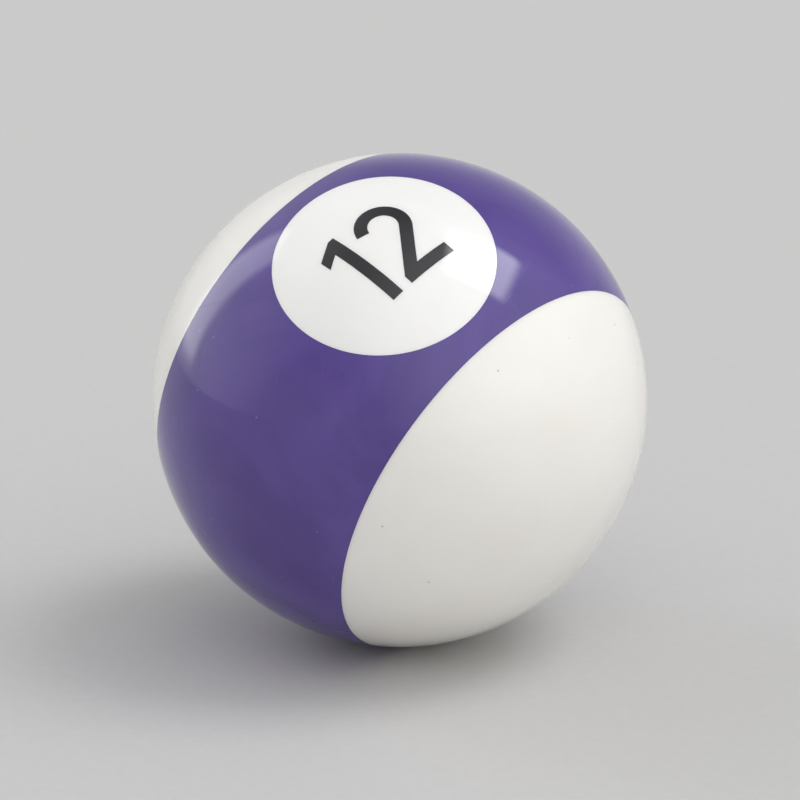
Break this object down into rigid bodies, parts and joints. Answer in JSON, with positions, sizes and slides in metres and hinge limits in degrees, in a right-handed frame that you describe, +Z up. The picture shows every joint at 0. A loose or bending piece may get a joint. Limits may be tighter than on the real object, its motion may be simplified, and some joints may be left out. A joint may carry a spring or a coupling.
{
  "type": "pool ball",
  "caption": "Solid cast-resin pool ball with a purple stripe, white caps and a black number inlaid in a white disc on opposite sides.",
  "frame": {"origin": "centre of the ball", "axes": "+Z up, with the ball lying on a table at Z = -19.05 mm. The front number faces -Y, tipped up 50 degrees from the horizon, along (0, -0.643, 0.766). The stripe's axis, which is also the digits' up direction, is (-0.766, 0.492, 0.413), and the digits read along (0.643, 0.587, 0.492)."},
  "size_m": [0.038, 0.038, 0.038],
  "materials": {
    "purple_resin": "polished cast resin",
    "white_resin": "polished cast resin, slightly warm white",
    "number_disc_resin": "polished cast resin, neutral white",
    "black_resin": "polished black inlay",
    "core_resin": "mineral-filled resin, as cast"
  },
  "bodies": {
    "root": {"core": "core_resin", "stripe_band": "purple_resin", "upper_cap": "white_resin", "lower_cap": "white_resin", "front_number_disc": "number_disc_resin", "front_numeral_1": "black_resin", "front_numeral_2": "black_resin", "back_number_disc": "number_disc_resin", "back_numeral_1": "black_resin", "back_numeral_2": "black_resin"}
  },
  "joints": []
}
